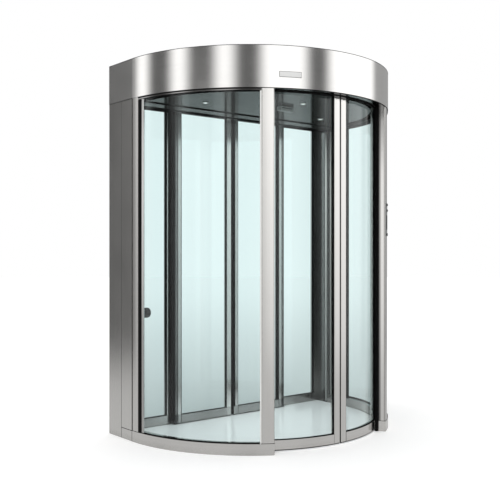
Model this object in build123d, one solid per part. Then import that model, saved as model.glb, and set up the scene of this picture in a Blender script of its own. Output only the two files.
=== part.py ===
"""Half-round security airlock portal: curved bi-parting doors in front, flat ones behind.

Millimetres. The origin is on the ground at the centre of the half-round front, +X is to the right
of a person about to walk in, +Y is towards the flat rear wall and +Z is up.
Plan angles are measured from the front (-Y) and grow towards +X. Every paired piece is drawn on
the right-hand side and mirrored to the left.
"""
import os
from math import asin, cos, degrees, hypot, radians, sin, sqrt

from build123d import *

# Overall plan and height
HEIGHT = 2400.0
HEADER_HEIGHT = 250.0
RADIUS = 955.0
REAR_DEPTH = 287.0
BASE_HEIGHT = 68.0
SOFFIT_Z = HEIGHT - HEADER_HEIGHT

# Clearances and joints
RUN_GAP = 8.0
FLOOR_GAP = 6.0
MEETING_GAP = 5.0
PARTING = 0.6
SEAM_EDGE = 2.5
LIP_RECESS = 2.0
SEAL_CLEARANCE = 6.0
SHOE_GAP = 0.3

# Fixed front: posts, base rail, glass
OPENING_HALF_ANGLE = 30.5
FRAME_INSET = 2.0
POST_DEPTH = 45.0
FRONT_POST_WIDTH = 80.0
REAR_POST_WIDTH = 38.0
BUTTON_POST_WIDTH = 70.0
POST_EDGE = 8.0
POST_INNER_EDGE = 3.0
POST_SEAL = 6.0
BASE_LEDGE = 17.0
GLASS = 10.0
GLASS_REVEAL = 8.0
GASKET_FACE = 2.0
HEAD_SEAL = 4.0
HEAD_RAIL_HEIGHT = 12.0
HEAD_RAIL_DEPTH = 26.0
FLOOR = 8.0
FLOOR_EDGE_GAP = 5.0

# Side walls behind the half-round
SIDE_WALL = 55.0
SIDE_PANEL = 20.0
SIDE_PANEL_DEPTH = 130.0
JAMB_NOSE = 25.0

# Sliding leaves
LEAF_DEPTH = 38.0
LEAF_SPAN_ANGLE = 35.0
STILE = 49.0
FRONT_MEETING_SEAL = 2.5
REAR_MEETING_SEAL = 10.0
LEAF_RAIL_HEIGHT = 56.0
LEAF_EDGE = 3.0
LEAF_HEAD_COVER = 6.0
LEAF_HEAD_GASKET = 13.0
TOP_RAIL_HEIGHT = 45.0
HANGER = 6.0
HANGER_SPAN = 60.0
HANGER_END_SHARE = 0.2
SHOE_WIDTH = 28.0
SHOE_HEIGHT = 10.0

# Fixed rear panels
REAR_FRAME_DEPTH = 42.0
REAR_DOORWAY_SHARE = 0.533
REAR_OVERLAP = 15.0
REAR_STILE_WIDTH = 52.0
REAR_SIDE_STILE = 45.0
REAR_HEAD_HEIGHT = 4.0

# Header sheet metal and tracks
SHEET = 3.0
ROOF = 4.0
CEILING = 5.0
CEILING_JOINT_Y = 37.0
CEILING_JOINT = 4.0
TRAY_RIM_INSET = 65.0
COVER_WEB_INSET = 20.0
TRACK_WIDTH = 60.0
TRACK_HEIGHT = 50.0
TRACK_WALL = 4.0
TRACK_SLOT = 18.0
FRONT_TRACK_ANGLE = 68.0

# Fittings
LIGHT_RING_SHARE = 0.651
LIGHT_ANGLES = (-71.0, 0.0, 71.0)
LIGHT_RADIUS = 20.0
LIGHT_LENS_RADIUS = 14.0
LIGHT_PROUD = 4.0
LIGHT_DISH = 2.0
SENSOR_RING_SHARE = 0.444
SENSOR_LENGTH = 110.0
SENSOR_DEPTH = 40.0
SENSOR_HEIGHT = 28.0
SENSOR_EDGE = 6.0
BUTTON_ANGLE = -87.9
BUTTON_Z = 805.0
BUTTON_RADIUS = 32.0
BUTTON_LENGTH = 52.0
BUTTON_EDGE = 9.0
ENTRY_Z = 1402.0
ENTRY_WIDTH = 60.0
ENTRY_HEIGHT = 220.0
ENTRY_THICK = 3.0

# Worked out from the above
POST_OUTER = RADIUS - FRAME_INSET
POST_INNER = POST_OUTER - POST_DEPTH
GLASS_OUTER = POST_OUTER - GLASS_REVEAL
GLASS_INNER = GLASS_OUTER - GLASS
WALL_INNER_X = RADIUS - SIDE_WALL
REAR_FRAME_Y = REAR_DEPTH - REAR_FRAME_DEPTH
REAR_STILE_INNER_X = REAR_DOORWAY_SHARE * WALL_INNER_X
REAR_LEAF_EDGE = REAR_STILE_INNER_X + REAR_OVERLAP
LEAF_BOTTOM = FLOOR + FLOOR_GAP
LEAF_RAIL_TOP = LEAF_BOTTOM + LEAF_RAIL_HEIGHT
LEAF_GLASS_TOP = SOFFIT_Z + LEAF_HEAD_COVER
LEAF_TOP = LEAF_GLASS_TOP + TOP_RAIL_HEIGHT
REAR_LEAF_BACK = REAR_FRAME_Y - RUN_GAP
REAR_LEAF_FRONT = REAR_LEAF_BACK - LEAF_DEPTH
BASE_INNER = POST_INNER - BASE_LEDGE
LEAF_OUTER = BASE_INNER - RUN_GAP
LEAF_INNER = LEAF_OUTER - LEAF_DEPTH
LEAF_MID = (LEAF_OUTER + LEAF_INNER) / 2
CEILING_EDGE = LEAF_INNER - RUN_GAP
ROOF_UNDER = HEIGHT - ROOF
TRACK_LIP_Z = ROOF_UNDER - TRACK_HEIGHT + TRACK_WALL
SHOE_Z = TRACK_LIP_Z + SHOE_GAP


def plan_point(radius, angle):
    """Point on the ground plan at an angle from the front."""
    return (radius * sin(radians(angle)), -radius * cos(radians(angle)))


def angle_of(width, radius):
    """Angle that a width takes up on a circle."""
    return degrees(2 * asin(width / (2 * radius)))


def sector(inner, outer, start, end, bottom, top):
    """Curved slab between two radii, two plan angles and two heights."""
    middle = (start + end) / 2
    rim = ThreePointArc(*(plan_point(outer, a) for a in (start, middle, end)))
    back = ThreePointArc(*(plan_point(inner, a) for a in (end, middle, start)))
    outline = make_face([rim, Line(rim @ 1, back @ 0), back, Line(back @ 1, rim @ 0)])
    return Pos(0, 0, bottom) * extrude(outline, amount=top - bottom)


def block(x, y, z):
    """Box between pairs of coordinates."""
    middle = [(low + high) / 2 for low, high in (x, y, z)]
    return Pos(*middle) * Box(*(high - low for low, high in (x, y, z)))


def half_round(radius, rear, bottom, top):
    """D-shaped slab: a half disc in front, straight back to the rear line."""
    rim = ThreePointArc((-radius, 0), (0, -radius), (radius, 0))
    sides = Polyline((radius, 0), (radius, rear), (-radius, rear), (-radius, 0))
    return Pos(0, 0, bottom) * extrude(make_face([rim, sides]), amount=top - bottom)


def mirrored(solid):
    """The same piece on the left-hand side."""
    return mirror(solid, about=Plane.YZ)


def soften(solid, edge):
    """Round the four long upright edges."""
    return fillet(solid.edges().filter_by(Axis.Z), edge)


def eased(solid):
    """Round the edges of the outer face, so that a joint there shows as a fine groove."""
    return fillet(solid.faces().sort_by(Axis.X)[-1].edges(), SEAM_EDGE)


def base_rail():
    """Curved plinth under the fixed glass."""
    return soften(sector(BASE_INNER, RADIUS, OPENING_HALF_ANGLE, 90, 0, BASE_HEIGHT), SEAM_EDGE)


def upright_corners(solid):
    """Upright edges of a curved piece, from the innermost out."""
    return solid.edges().filter_by(Axis.Z).sort_by(lambda edge: hypot(edge.center().X, edge.center().Y))


def post(start, end):
    """Curved post with round outer corners and nearly sharp inner ones."""
    body = sector(POST_INNER, POST_OUTER, start, end, BASE_HEIGHT, SOFFIT_Z)
    body = fillet(upright_corners(body)[2:], POST_EDGE)
    return fillet(upright_corners(body)[:2], POST_INNER_EDGE)


def front_post():
    """Post at the edge of the front opening."""
    return post(OPENING_HALF_ANGLE, OPENING_HALF_ANGLE + angle_of(FRONT_POST_WIDTH, POST_OUTER))


def rear_post(width):
    """Post where the half-round meets the straight side."""
    return post(90 - angle_of(width, POST_OUTER), 90)


def post_seal():
    """Rubber fin behind the front post that closes the gap to the leaf."""
    start = OPENING_HALF_ANGLE + angle_of(POST_INNER_EDGE, POST_INNER)
    end = start + angle_of(POST_SEAL, POST_INNER)
    return sector(LEAF_OUTER + SEAL_CLEARANCE, POST_INNER, start, end, BASE_HEIGHT, SOFFIT_Z)


def side_wall():
    """Rear jamb, side panel and the block that the panel stands on."""
    jamb = block((WALL_INNER_X, RADIUS), (SIDE_PANEL_DEPTH, REAR_DEPTH), (0, SOFFIT_Z))
    front_edges = jamb.edges().filter_by(Axis.Z).sort_by(Axis.Y)[:2]
    jamb = fillet(front_edges.sort_by(Axis.X)[0], JAMB_NOSE)
    panel = block((RADIUS - SIDE_PANEL, RADIUS), (0, SIDE_PANEL_DEPTH), (BASE_HEIGHT, SOFFIT_Z))
    foot = block((BASE_INNER, RADIUS), (0, SIDE_PANEL_DEPTH), (0, BASE_HEIGHT))
    return eased(jamb), eased(panel), eased(foot)


def glazed_sector(pane, rubber, span, z, head):
    """Curved pane and the rubber frame that holds it, from their radii, angles and heights."""
    step = angle_of(GASKET_FACE, pane[1])
    inside = (span[0] + step, span[1] - step, z[0] + GASKET_FACE, z[1] - head)
    return sector(*pane, *inside), sector(*rubber, *span, *z) - sector(*rubber, *inside)


def fixed_curve(rear_width):
    """Fixed curved glass, its rubber frame, and the slim rail over it with its packing strip."""
    span = (OPENING_HALF_ANGLE + angle_of(FRONT_POST_WIDTH, POST_OUTER),
            90 - angle_of(rear_width, POST_OUTER))
    rail_top = SOFFIT_Z - HEAD_SEAL
    rail_foot = rail_top - HEAD_RAIL_HEIGHT
    face = POST_OUTER - LIP_RECESS
    pane, rubber = glazed_sector((GLASS_INNER, GLASS_OUTER), (GLASS_INNER, face), span,
                                 (BASE_HEIGHT, rail_foot), GASKET_FACE)
    back = POST_OUTER - HEAD_RAIL_DEPTH
    rail = sector(back, POST_OUTER, *span, rail_foot, rail_top)
    strip = sector(back, face, *span, rail_top, SOFFIT_Z)
    return pane, Compound(children=[rubber, strip]), rail


def curved_leaf():
    """Curved sliding leaf: frame, pane and rubber."""
    near = angle_of(MEETING_GAP / 2, LEAF_OUTER)
    far = LEAF_SPAN_ANGLE
    nose = near + angle_of(FRONT_MEETING_SEAL, LEAF_OUTER)
    stile = angle_of(STILE, LEAF_OUTER)
    joint = angle_of(PARTING, LEAF_OUTER)
    shell = (LEAF_INNER, LEAF_OUTER)
    span = (near + stile, far - stile)
    stiles = [soften(sector(*shell, *ends, LEAF_BOTTOM, LEAF_TOP), LEAF_EDGE)
              for ends in ((nose, span[0]), (span[1], far))]
    clear = (span[0] + joint, span[1] - joint)
    bottom = sector(*shell, *clear, LEAF_BOTTOM, LEAF_RAIL_TOP)
    top = sector(*shell, *clear, LEAF_GLASS_TOP, LEAF_TOP)
    half = angle_of(HANGER_SPAN, LEAF_MID) / 2
    for share in (HANGER_END_SHARE, 1 - HANGER_END_SHARE):
        centre = clear[0] + share * (clear[1] - clear[0])
        ends = (centre - half, centre + half)
        top += sector(LEAF_MID - HANGER / 2, LEAF_MID + HANGER / 2, *ends, LEAF_TOP, SHOE_Z)
        top += sector(LEAF_MID - SHOE_WIDTH / 2, LEAF_MID + SHOE_WIDTH / 2, *ends,
                      SHOE_Z, SHOE_Z + SHOE_HEIGHT)
    glass = (LEAF_MID - GLASS / 2, LEAF_MID + GLASS / 2)
    pane, rubber = glazed_sector(glass, (glass[0], LEAF_OUTER - LIP_RECESS), span,
                                 (LEAF_RAIL_TOP, LEAF_GLASS_TOP), LEAF_HEAD_GASKET)
    seal = sector(LEAF_INNER + LEAF_EDGE, LEAF_OUTER - LEAF_EDGE, near, nose, LEAF_BOTTOM, LEAF_TOP)
    return Compound(children=[*stiles, bottom, top]), pane, Compound(children=[rubber, seal])


def glazed_block(frame_y, x, z, head):
    """Flat pane and the rubber frame that holds it, in the middle of a frame's depth."""
    inside_x = (x[0] + GASKET_FACE, x[1] - GASKET_FACE)
    inside_z = (z[0] + GASKET_FACE, z[1] - head)
    middle = sum(frame_y) / 2
    glass_y = (middle - GLASS / 2, middle + GLASS / 2)
    deep = (frame_y[0] + LIP_RECESS, glass_y[1] + LIP_RECESS)
    pane = block(inside_x, glass_y, inside_z)
    return pane, block(x, deep, z) - block(inside_x, deep, inside_z)


def flat_leaf():
    """Flat sliding leaf: frame, pane and rubber."""
    x = (MEETING_GAP / 2, REAR_LEAF_EDGE)
    y = (REAR_LEAF_FRONT, REAR_LEAF_BACK)
    middle = (REAR_LEAF_FRONT + REAR_LEAF_BACK) / 2
    nose = x[0] + REAR_MEETING_SEAL
    span = (x[0] + STILE, x[1] - STILE)
    stiles = [soften(block(ends, y, (LEAF_BOTTOM, LEAF_TOP)), LEAF_EDGE)
              for ends in ((nose, span[0]), (span[1], x[1]))]
    clear = (span[0] + PARTING, span[1] - PARTING)
    bottom = block(clear, y, (LEAF_BOTTOM, LEAF_RAIL_TOP))
    top = block(clear, y, (LEAF_GLASS_TOP, LEAF_TOP))
    for share in (HANGER_END_SHARE, 1 - HANGER_END_SHARE):
        centre = clear[0] + share * (clear[1] - clear[0])
        ends = (centre - HANGER_SPAN / 2, centre + HANGER_SPAN / 2)
        top += block(ends, (middle - HANGER / 2, middle + HANGER / 2), (LEAF_TOP, SHOE_Z))
        top += block(ends, (middle - SHOE_WIDTH / 2, middle + SHOE_WIDTH / 2),
                     (SHOE_Z, SHOE_Z + SHOE_HEIGHT))
    pane, rubber = glazed_block(y, span, (LEAF_RAIL_TOP, LEAF_GLASS_TOP), LEAF_HEAD_GASKET)
    seal = block((x[0], nose), (y[0] + LEAF_EDGE, y[1] - LEAF_EDGE), (LEAF_BOTTOM, LEAF_TOP))
    return Compound(children=[*stiles, bottom, top]), pane, Compound(children=[rubber, seal])


def rear_panel():
    """Fixed flat panel beside the rear doors: frame, pane and rubber."""
    y = (REAR_FRAME_Y, REAR_DEPTH)
    x = (REAR_STILE_INNER_X, WALL_INNER_X)
    glass_x = (x[0] + REAR_STILE_WIDTH, x[1] - REAR_SIDE_STILE)
    glass_z = (BASE_HEIGHT, SOFFIT_Z - REAR_HEAD_HEIGHT)
    frame = block(x, y, (0, SOFFIT_Z)) - block(glass_x, y, glass_z)
    return frame, *glazed_block(y, glass_x, glass_z, GASKET_FACE)


def fascia(start, end):
    """Curved header skin with its folded lower return."""
    skin = sector(RADIUS - SHEET, RADIUS, start, end, SOFFIT_Z, HEIGHT)
    return skin + sector(BASE_INNER, RADIUS - SHEET, start, end, SOFFIT_Z, SOFFIT_Z + SHEET)


def side_fascia():
    """Curved and straight header skin on one side, folded from one sheet."""
    inner = RADIUS - SHEET
    cheek = block((inner, RADIUS), (0, REAR_DEPTH), (SOFFIT_Z, HEIGHT))
    fold = block((WALL_INNER_X, inner), (0, REAR_FRAME_Y), (SOFFIT_Z, SOFFIT_Z + SHEET))
    return fascia(OPENING_HALF_ANGLE, 90) + cheek + fold


def rear_fascia():
    """Flat header skin over the rear doors with its folded return."""
    inner = RADIUS - SHEET
    skin = block((-inner, inner), (REAR_DEPTH - SHEET, REAR_DEPTH), (SOFFIT_Z, HEIGHT))
    return skin + block((-inner, inner), (REAR_FRAME_Y, REAR_DEPTH - SHEET),
                        (SOFFIT_Z, SOFFIT_Z + SHEET))


def ceiling_tray():
    """Ceiling plate with the rim that hangs it from the roof."""
    rear = CEILING_JOINT_Y - CEILING_JOINT / 2
    plate = half_round(CEILING_EDGE, rear, SOFFIT_Z, SOFFIT_Z + CEILING)
    rim = CEILING_EDGE - TRAY_RIM_INSET
    outside = half_round(rim, rear - COVER_WEB_INSET, SOFFIT_Z + CEILING, ROOF_UNDER)
    inside = half_round(rim - SHEET, rear - COVER_WEB_INSET - SHEET, SOFFIT_Z + CEILING, ROOF_UNDER)
    return plate + (outside - inside)


def rear_cover():
    """Cover under the rear door drive with the web that hangs it from the roof."""
    front = CEILING_JOINT_Y + CEILING_JOINT / 2
    half = WALL_INNER_X - RUN_GAP
    plate = block((-half, half), (front, REAR_LEAF_FRONT - RUN_GAP), (SOFFIT_Z, SOFFIT_Z + CEILING))
    web = (front + COVER_WEB_INSET, front + COVER_WEB_INSET + SHEET)
    return plate + block((-half, half), web, (SOFFIT_Z + CEILING, ROOF_UNDER))


def front_track():
    """Curved channel that the front leaves hang in."""
    ends = (-FRONT_TRACK_ANGLE, FRONT_TRACK_ANGLE)
    half, wall = TRACK_WIDTH / 2, TRACK_WALL
    foot = ROOF_UNDER - TRACK_HEIGHT
    channel = sector(LEAF_MID - half, LEAF_MID + half, *ends, foot, ROOF_UNDER)
    channel -= sector(LEAF_MID - half + wall, LEAF_MID + half - wall, *ends,
                      foot + wall, ROOF_UNDER - wall)
    return channel - sector(LEAF_MID - TRACK_SLOT / 2, LEAF_MID + TRACK_SLOT / 2, *ends,
                            foot, foot + wall)


def rear_track():
    """Straight channel that the rear leaves hang in."""
    x = (-WALL_INNER_X, WALL_INNER_X)
    y = (REAR_LEAF_FRONT + REAR_LEAF_BACK) / 2
    half, wall = TRACK_WIDTH / 2, TRACK_WALL
    foot = ROOF_UNDER - TRACK_HEIGHT
    channel = block(x, (y - half, y + half), (foot, ROOF_UNDER))
    channel -= block(x, (y - half + wall, y + half - wall), (foot + wall, ROOF_UNDER - wall))
    return channel - block(x, (y - TRACK_SLOT / 2, y + TRACK_SLOT / 2), (foot, foot + wall))


def downlight(angle):
    """Small round light with a dished lens."""
    x, y = plan_point(LIGHT_RING_SHARE * CEILING_EDGE, angle)
    body = Cylinder(LIGHT_RADIUS, LIGHT_PROUD)
    dish = Pos(0, 0, -LIGHT_PROUD / 2 + LIGHT_DISH / 2) * Cylinder(LIGHT_LENS_RADIUS, LIGHT_DISH)
    return Pos(x, y, SOFFIT_Z - LIGHT_PROUD / 2) * (body - dish)


def sensor():
    """Presence sensor under the ceiling."""
    y = -SENSOR_RING_SHARE * CEILING_EDGE
    body = block((-SENSOR_LENGTH / 2, SENSOR_LENGTH / 2),
                 (y - SENSOR_DEPTH / 2, y + SENSOR_DEPTH / 2),
                 (SOFFIT_Z - SENSOR_HEIGHT, SOFFIT_Z))
    return fillet(body.faces().sort_by(Axis.Z)[0].edges(), SENSOR_EDGE)


def push_button():
    """Push button on the inside of the left rear post."""
    seat = sqrt(POST_INNER ** 2 - BUTTON_RADIUS ** 2)
    x, y = plan_point(seat, BUTTON_ANGLE)
    inward = Vector(-x, -y, 0)
    body = Cylinder(BUTTON_RADIUS, BUTTON_LENGTH, align=(Align.CENTER, Align.CENTER, Align.MIN))
    body = chamfer(body.edges().sort_by(Axis.Z)[-1], BUTTON_EDGE)
    return Plane(origin=(x, y, BUTTON_Z), z_dir=inward) * body


def entry_panel():
    """Entry panel on the face of the right front post."""
    middle = OPENING_HALF_ANGLE + angle_of(FRONT_POST_WIDTH, POST_OUTER) / 2
    half = angle_of(ENTRY_WIDTH, POST_OUTER) / 2
    return sector(POST_OUTER, POST_OUTER + ENTRY_THICK, middle - half, middle + half,
                  ENTRY_Z - ENTRY_HEIGHT / 2, ENTRY_Z + ENTRY_HEIGHT / 2)


def pair(nodes, name, solid):
    """Add a right-hand piece and its mirror image."""
    nodes["right_" + name] = solid
    nodes["left_" + name] = mirrored(solid)


def both(solid, left=None):
    """Right-hand piece and its mirror image, or that of a left-hand one, in one node."""
    return Compound(children=[solid, mirrored(solid if left is None else left)])


def half_round_sides(nodes):
    """Add the rear posts and fixed curves: the left post is wider, for the button on it."""
    right, left = fixed_curve(REAR_POST_WIDTH), fixed_curve(BUTTON_POST_WIDTH)
    nodes["right_rear_post"] = rear_post(REAR_POST_WIDTH)
    nodes["left_rear_post"] = mirrored(rear_post(BUTTON_POST_WIDTH))
    nodes["right_curved_glass"] = right[0]
    nodes["left_curved_glass"] = mirrored(left[0])
    nodes["curved_glass_gaskets"] = both(right[1], left[1])
    nodes["head_rails"] = both(right[2], left[2])


def leaves(nodes, place, leaf):
    """Add a pair of leaves, each as frame, glass and rubber."""
    for piece, solid in zip(("frame", "glass", "gasket"), leaf):
        nodes[f"{place}_right_leaf_{piece}"] = solid
        nodes[f"{place}_left_leaf_{piece}"] = mirrored(solid)


def portal():
    """Every node of the portal by name."""
    nodes = {"floor_plate": half_round(BASE_INNER - FLOOR_EDGE_GAP,
                                       REAR_FRAME_Y - FLOOR_EDGE_GAP, 0, FLOOR)}
    jamb, panel, foot = side_wall()
    frame, flat, flat_rubber = rear_panel()
    for name, solid in (("rear_jamb", jamb), ("side_panel", panel), ("base_rail", base_rail()),
                        ("front_post", front_post()), ("rear_frame", frame), ("rear_glass", flat),
                        ("header_fascia", side_fascia())):
        pair(nodes, name, solid)
    half_round_sides(nodes)
    nodes["side_base_blocks"] = both(foot)
    nodes["post_seals"] = both(post_seal())
    nodes["rear_glass_gaskets"] = both(flat_rubber)
    nodes["front_header_fascia"] = fascia(-OPENING_HALF_ANGLE, OPENING_HALF_ANGLE)
    nodes["rear_header_fascia"] = rear_fascia()
    nodes["roof_plate"] = half_round(RADIUS - SHEET, REAR_DEPTH - SHEET, ROOF_UNDER, HEIGHT)
    nodes["ceiling_panel"] = ceiling_tray()
    nodes["rear_drive_cover"] = rear_cover()
    nodes["front_track"] = front_track()
    nodes["rear_track"] = rear_track()
    nodes["ceiling_lights"] = Compound(children=[downlight(a) for a in LIGHT_ANGLES])
    nodes["ceiling_sensor"] = sensor()
    nodes["push_button"] = push_button()
    nodes["entry_panel"] = entry_panel()
    leaves(nodes, "front", curved_leaf())
    leaves(nodes, "rear", flat_leaf())
    return nodes


os.makedirs("parts", exist_ok=True)
for node, shape in portal().items():
    export_step(shape, f"parts/{node}.step")
    print(node)
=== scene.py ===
# %% [markdown]
# # A half-round security portal
# The portal is a glass drum of half a circle with a steel header, two curved doors in front and two flat
# doors behind. The solids come from the CAD model, in metres and in their right places. They are loaded
# first as a fixed frame, and everything after this only gives them finishes and adds small pieces.
# The box of the solids is kept; the pieces below take the skin, the back and the top from it.

# %% Load the imported model
from math import asin, atan2, cos, degrees, radians, sin

import bmesh
import bpy
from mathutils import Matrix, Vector


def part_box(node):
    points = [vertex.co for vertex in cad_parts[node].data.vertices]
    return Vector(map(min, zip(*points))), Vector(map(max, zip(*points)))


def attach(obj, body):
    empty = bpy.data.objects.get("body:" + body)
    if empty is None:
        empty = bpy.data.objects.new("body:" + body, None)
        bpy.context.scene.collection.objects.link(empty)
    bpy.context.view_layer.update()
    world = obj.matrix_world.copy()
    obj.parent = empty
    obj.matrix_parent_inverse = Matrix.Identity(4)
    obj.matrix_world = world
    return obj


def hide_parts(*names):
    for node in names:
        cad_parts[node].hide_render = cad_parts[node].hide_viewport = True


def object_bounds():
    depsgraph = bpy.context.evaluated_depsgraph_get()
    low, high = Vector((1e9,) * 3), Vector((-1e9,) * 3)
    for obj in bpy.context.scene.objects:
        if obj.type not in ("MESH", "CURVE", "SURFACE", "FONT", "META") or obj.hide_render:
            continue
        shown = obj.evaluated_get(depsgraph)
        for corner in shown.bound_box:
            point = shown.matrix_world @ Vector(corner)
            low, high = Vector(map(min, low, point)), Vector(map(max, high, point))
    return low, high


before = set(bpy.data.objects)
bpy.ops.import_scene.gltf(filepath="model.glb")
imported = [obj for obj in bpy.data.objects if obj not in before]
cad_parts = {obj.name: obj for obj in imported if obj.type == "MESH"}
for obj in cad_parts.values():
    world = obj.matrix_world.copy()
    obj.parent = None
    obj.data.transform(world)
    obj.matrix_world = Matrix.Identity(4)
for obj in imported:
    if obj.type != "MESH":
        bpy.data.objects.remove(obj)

CAD_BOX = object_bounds()
SCENE = bpy.context.scene
SCENE.view_settings.view_transform = "Standard"

# %% [markdown]
# ## The camera
# The photographer stood to the left of the portal's front, with the lens at about chest height and level,
# so upright edges stay upright. A camera that turns about the portal's axis needs only three numbers: how
# far round it stands, how far away it is, and how high. Its lens is an ordinary one, with no shift.

# %% Stand the camera where the photographer stood
VIEW_ROUND = radians(39.2)
VIEW_DISTANCE, VIEW_HEIGHT = 5.616, 1.2
LENS_LENGTH, SENSOR_WIDTH = 57.6, 36.0      # millimetres
lens = bpy.data.cameras.new("portal_camera")
lens.lens, lens.sensor_width = LENS_LENGTH, SENSOR_WIDTH
camera = bpy.data.objects.new("portal_camera", lens)
camera.location = (-VIEW_DISTANCE * sin(VIEW_ROUND), -VIEW_DISTANCE * cos(VIEW_ROUND), VIEW_HEIGHT)
camera.rotation_euler = (radians(90), 0, -VIEW_ROUND)
SCENE.collection.objects.link(camera)
SCENE.camera = camera
print("camera at", [round(part, 3) for part in camera.location])

# %% [markdown]
# ## Shader maths as plain sums
# A finish is a little net of nodes. Laying every Math node by hand hides the idea, so a Wire stands for one
# socket, and adding or multiplying two wires lays the node for it. A Board is a node tree, and its one
# method node() lays any other node: its type, its settings, then what goes into its sockets.

# %% Wires and boards
class Wire:
    """The value that leaves a socket; arithmetic on it lays Math nodes."""

    def __init__(self, board, socket):
        self.board, self.socket = board, socket

    def out(self, name):
        """Another output of the same node."""
        return Wire(self.board, self.socket.node.outputs[name])

    def sum_of(self, operation, left, right):
        return self.board.node("ShaderNodeMath", {"operation": operation}, {0: left, 1: right})

    def __add__(self, other):
        return self.sum_of("ADD", self, other)

    def __radd__(self, other):
        return self.sum_of("ADD", other, self)

    def __sub__(self, other):
        return self.sum_of("SUBTRACT", self, other)

    def __rsub__(self, other):
        return self.sum_of("SUBTRACT", other, self)

    def __mul__(self, other):
        return self.sum_of("MULTIPLY", self, other)

    def __rmul__(self, other):
        return self.sum_of("MULTIPLY", other, self)

    def __gt__(self, other):
        return self.sum_of("GREATER_THAN", self, other)

    def __lt__(self, other):
        return self.sum_of("LESS_THAN", self, other)

    def __abs__(self):
        return self.sum_of("ABSOLUTE", self, 0.0)


class Board:
    """A node tree that hands out its sockets as wires."""

    def __init__(self, tree):
        self.tree = tree

    def plug(self, socket, value):
        if isinstance(value, Wire):
            self.tree.links.new(value.socket, socket)
        else:
            socket.default_value = value

    def node(self, kind, settings=None, sockets=None, out=0):
        node = self.tree.nodes.new(kind)
        for name, value in (settings or {}).items():
            setattr(node, name, value)
        for name, value in (sockets or {}).items():
            self.plug(node.inputs[name], value)
        return Wire(self, node.outputs[out])

    def ease(self, value, low, high):
        """0 below low and 1 above high, with a soft step between; low may be the higher one."""
        return self.node("ShaderNodeMapRange", {"interpolation_type": "SMOOTHSTEP"},
                         {"Value": value, "From Min": low, "From Max": high})

    def larger(self, left, right):
        return left.sum_of("MAXIMUM", left, right)

    def split(self, vector):
        parts = self.node("ShaderNodeSeparateXYZ", sockets={0: vector})
        return parts, parts.out("Y"), parts.out("Z")

    def stretch(self, vector, scale):
        return self.node("ShaderNodeVectorMath", {"operation": "MULTIPLY"}, {0: vector, 1: scale})

    def length(self, vector):
        return self.node("ShaderNodeVectorMath", {"operation": "LENGTH"}, {0: vector}, out="Value")

    def noise(self, vector, scale=1.0, detail=3.0, rough=0.55):
        return self.node("ShaderNodeTexNoise",
                         sockets={"Vector": vector, "Scale": scale, "Detail": detail, "Roughness": rough})

    def blend(self, share, first, second):
        """A colour between two colours."""
        return self.node("ShaderNodeMix", {"data_type": "RGBA"}, {0: share, 6: first, 7: second}, out=2)

    def bump(self, height, strength, depth):
        return self.node("ShaderNodeBump",
                         sockets={"Height": height, "Strength": strength, "Distance": depth})


class Finish(Board):
    """A material: constants are set on the shader's own sockets, wires are fed to them."""

    def __init__(self, name, **constants):
        self.material = bpy.data.materials.new(name)
        self.material.use_nodes = True
        super().__init__(self.material.node_tree)
        self.shader = self.tree.nodes["Principled BSDF"]
        for socket, value in constants.items():
            self.feed(socket.replace("_", " "), value)

    def feed(self, socket, value):
        self.plug(self.shader.inputs[socket], value)

    def place(self):
        return self.node("ShaderNodeTexCoord", out="Object")

    def facing(self):
        """Which way the surface faces, as x, y and z."""
        return self.split(self.node("ShaderNodeTexCoord", out="Normal"))


print("wires and boards are ready")

# %% [markdown]
# ## The studio
# Polished steel has no look of its own: it shows what stands around it. The bright and dark upright bands
# on the portal's header are tall soft boxes in a ring with gaps between them, so the ring is described
# once, as a list of plan angles, and only reflections see it. Everything else sees an even white room at a
# level of 1, at which a colour comes out as it is written. Below the horizon a reflection sees the floor.

# %% The ring of soft boxes
SOFT_BOXES = ((-173, 1), (-135, 1), (-97, 1), (-59, 1), (-12, 12), (53, 21))  # middle, half width, degrees
BOX_EDGE = 13
BOX_RISE = {"From Min": -16.0, "From Max": 10.0, "To Min": 0.5, "To Max": 1.3}   # brighter higher up
LOW_BOX, LOW_BOX_TOP = (-72, 6), (9, 6)   # a low box: middle, half width; elevations where it ends
GREY_SIDE = (116, 30, 20)                 # a grey screen at the right: middle, half width, edge
FLOOR_EDGE, TOP_EDGE = (-6, -10), (35, 70)      # elevations where floor and ceiling take over
BOX_LEVEL, GAP_LEVEL, GREY_LEVEL, FLOOR_LEVEL, TOP_LEVEL = 1.08, 0.115, 0.37, 0.58, 1.0
ROOM_LEVEL = 1.0
MIRROR_DEPTH = 0.5      # a ray with a glossy depth above this has met a mirror


def studio_ring(board):
    """How bright the studio is in the direction that a reflection looks."""
    x, y, z = board.split(board.node("ShaderNodeTexCoord", out="Generated"))
    angle = x.sum_of("ARCTAN2", x, 0.0 - y) * degrees(1)
    height = z.sum_of("ARCSINE", z, 0.0) * degrees(1)

    def screen(middle, half, edge=BOX_EDGE):
        """1 on a box in the ring and 0 beside it, with a soft edge."""
        turn = board.node("ShaderNodeMath", {"operation": "WRAP"}, {0: angle - middle, 1: 180.0, 2: -180.0})
        return board.ease(abs(turn), half + edge, half)

    lit = screen(*LOW_BOX) * board.ease(height, *LOW_BOX_TOP)
    for box in SOFT_BOXES:
        lit = board.larger(lit, screen(*box))
    lit = lit * board.node("ShaderNodeMapRange", sockets={"Value": height, **BOX_RISE})
    ring = board.larger(GAP_LEVEL + (BOX_LEVEL - GAP_LEVEL) * lit, screen(*GREY_SIDE) * GREY_LEVEL)
    floor, top = board.ease(height, *FLOOR_EDGE), board.ease(height, *TOP_EDGE)
    return (ring * (1 - floor) + FLOOR_LEVEL * floor) * (1 - top) + TOP_LEVEL * top


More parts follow.
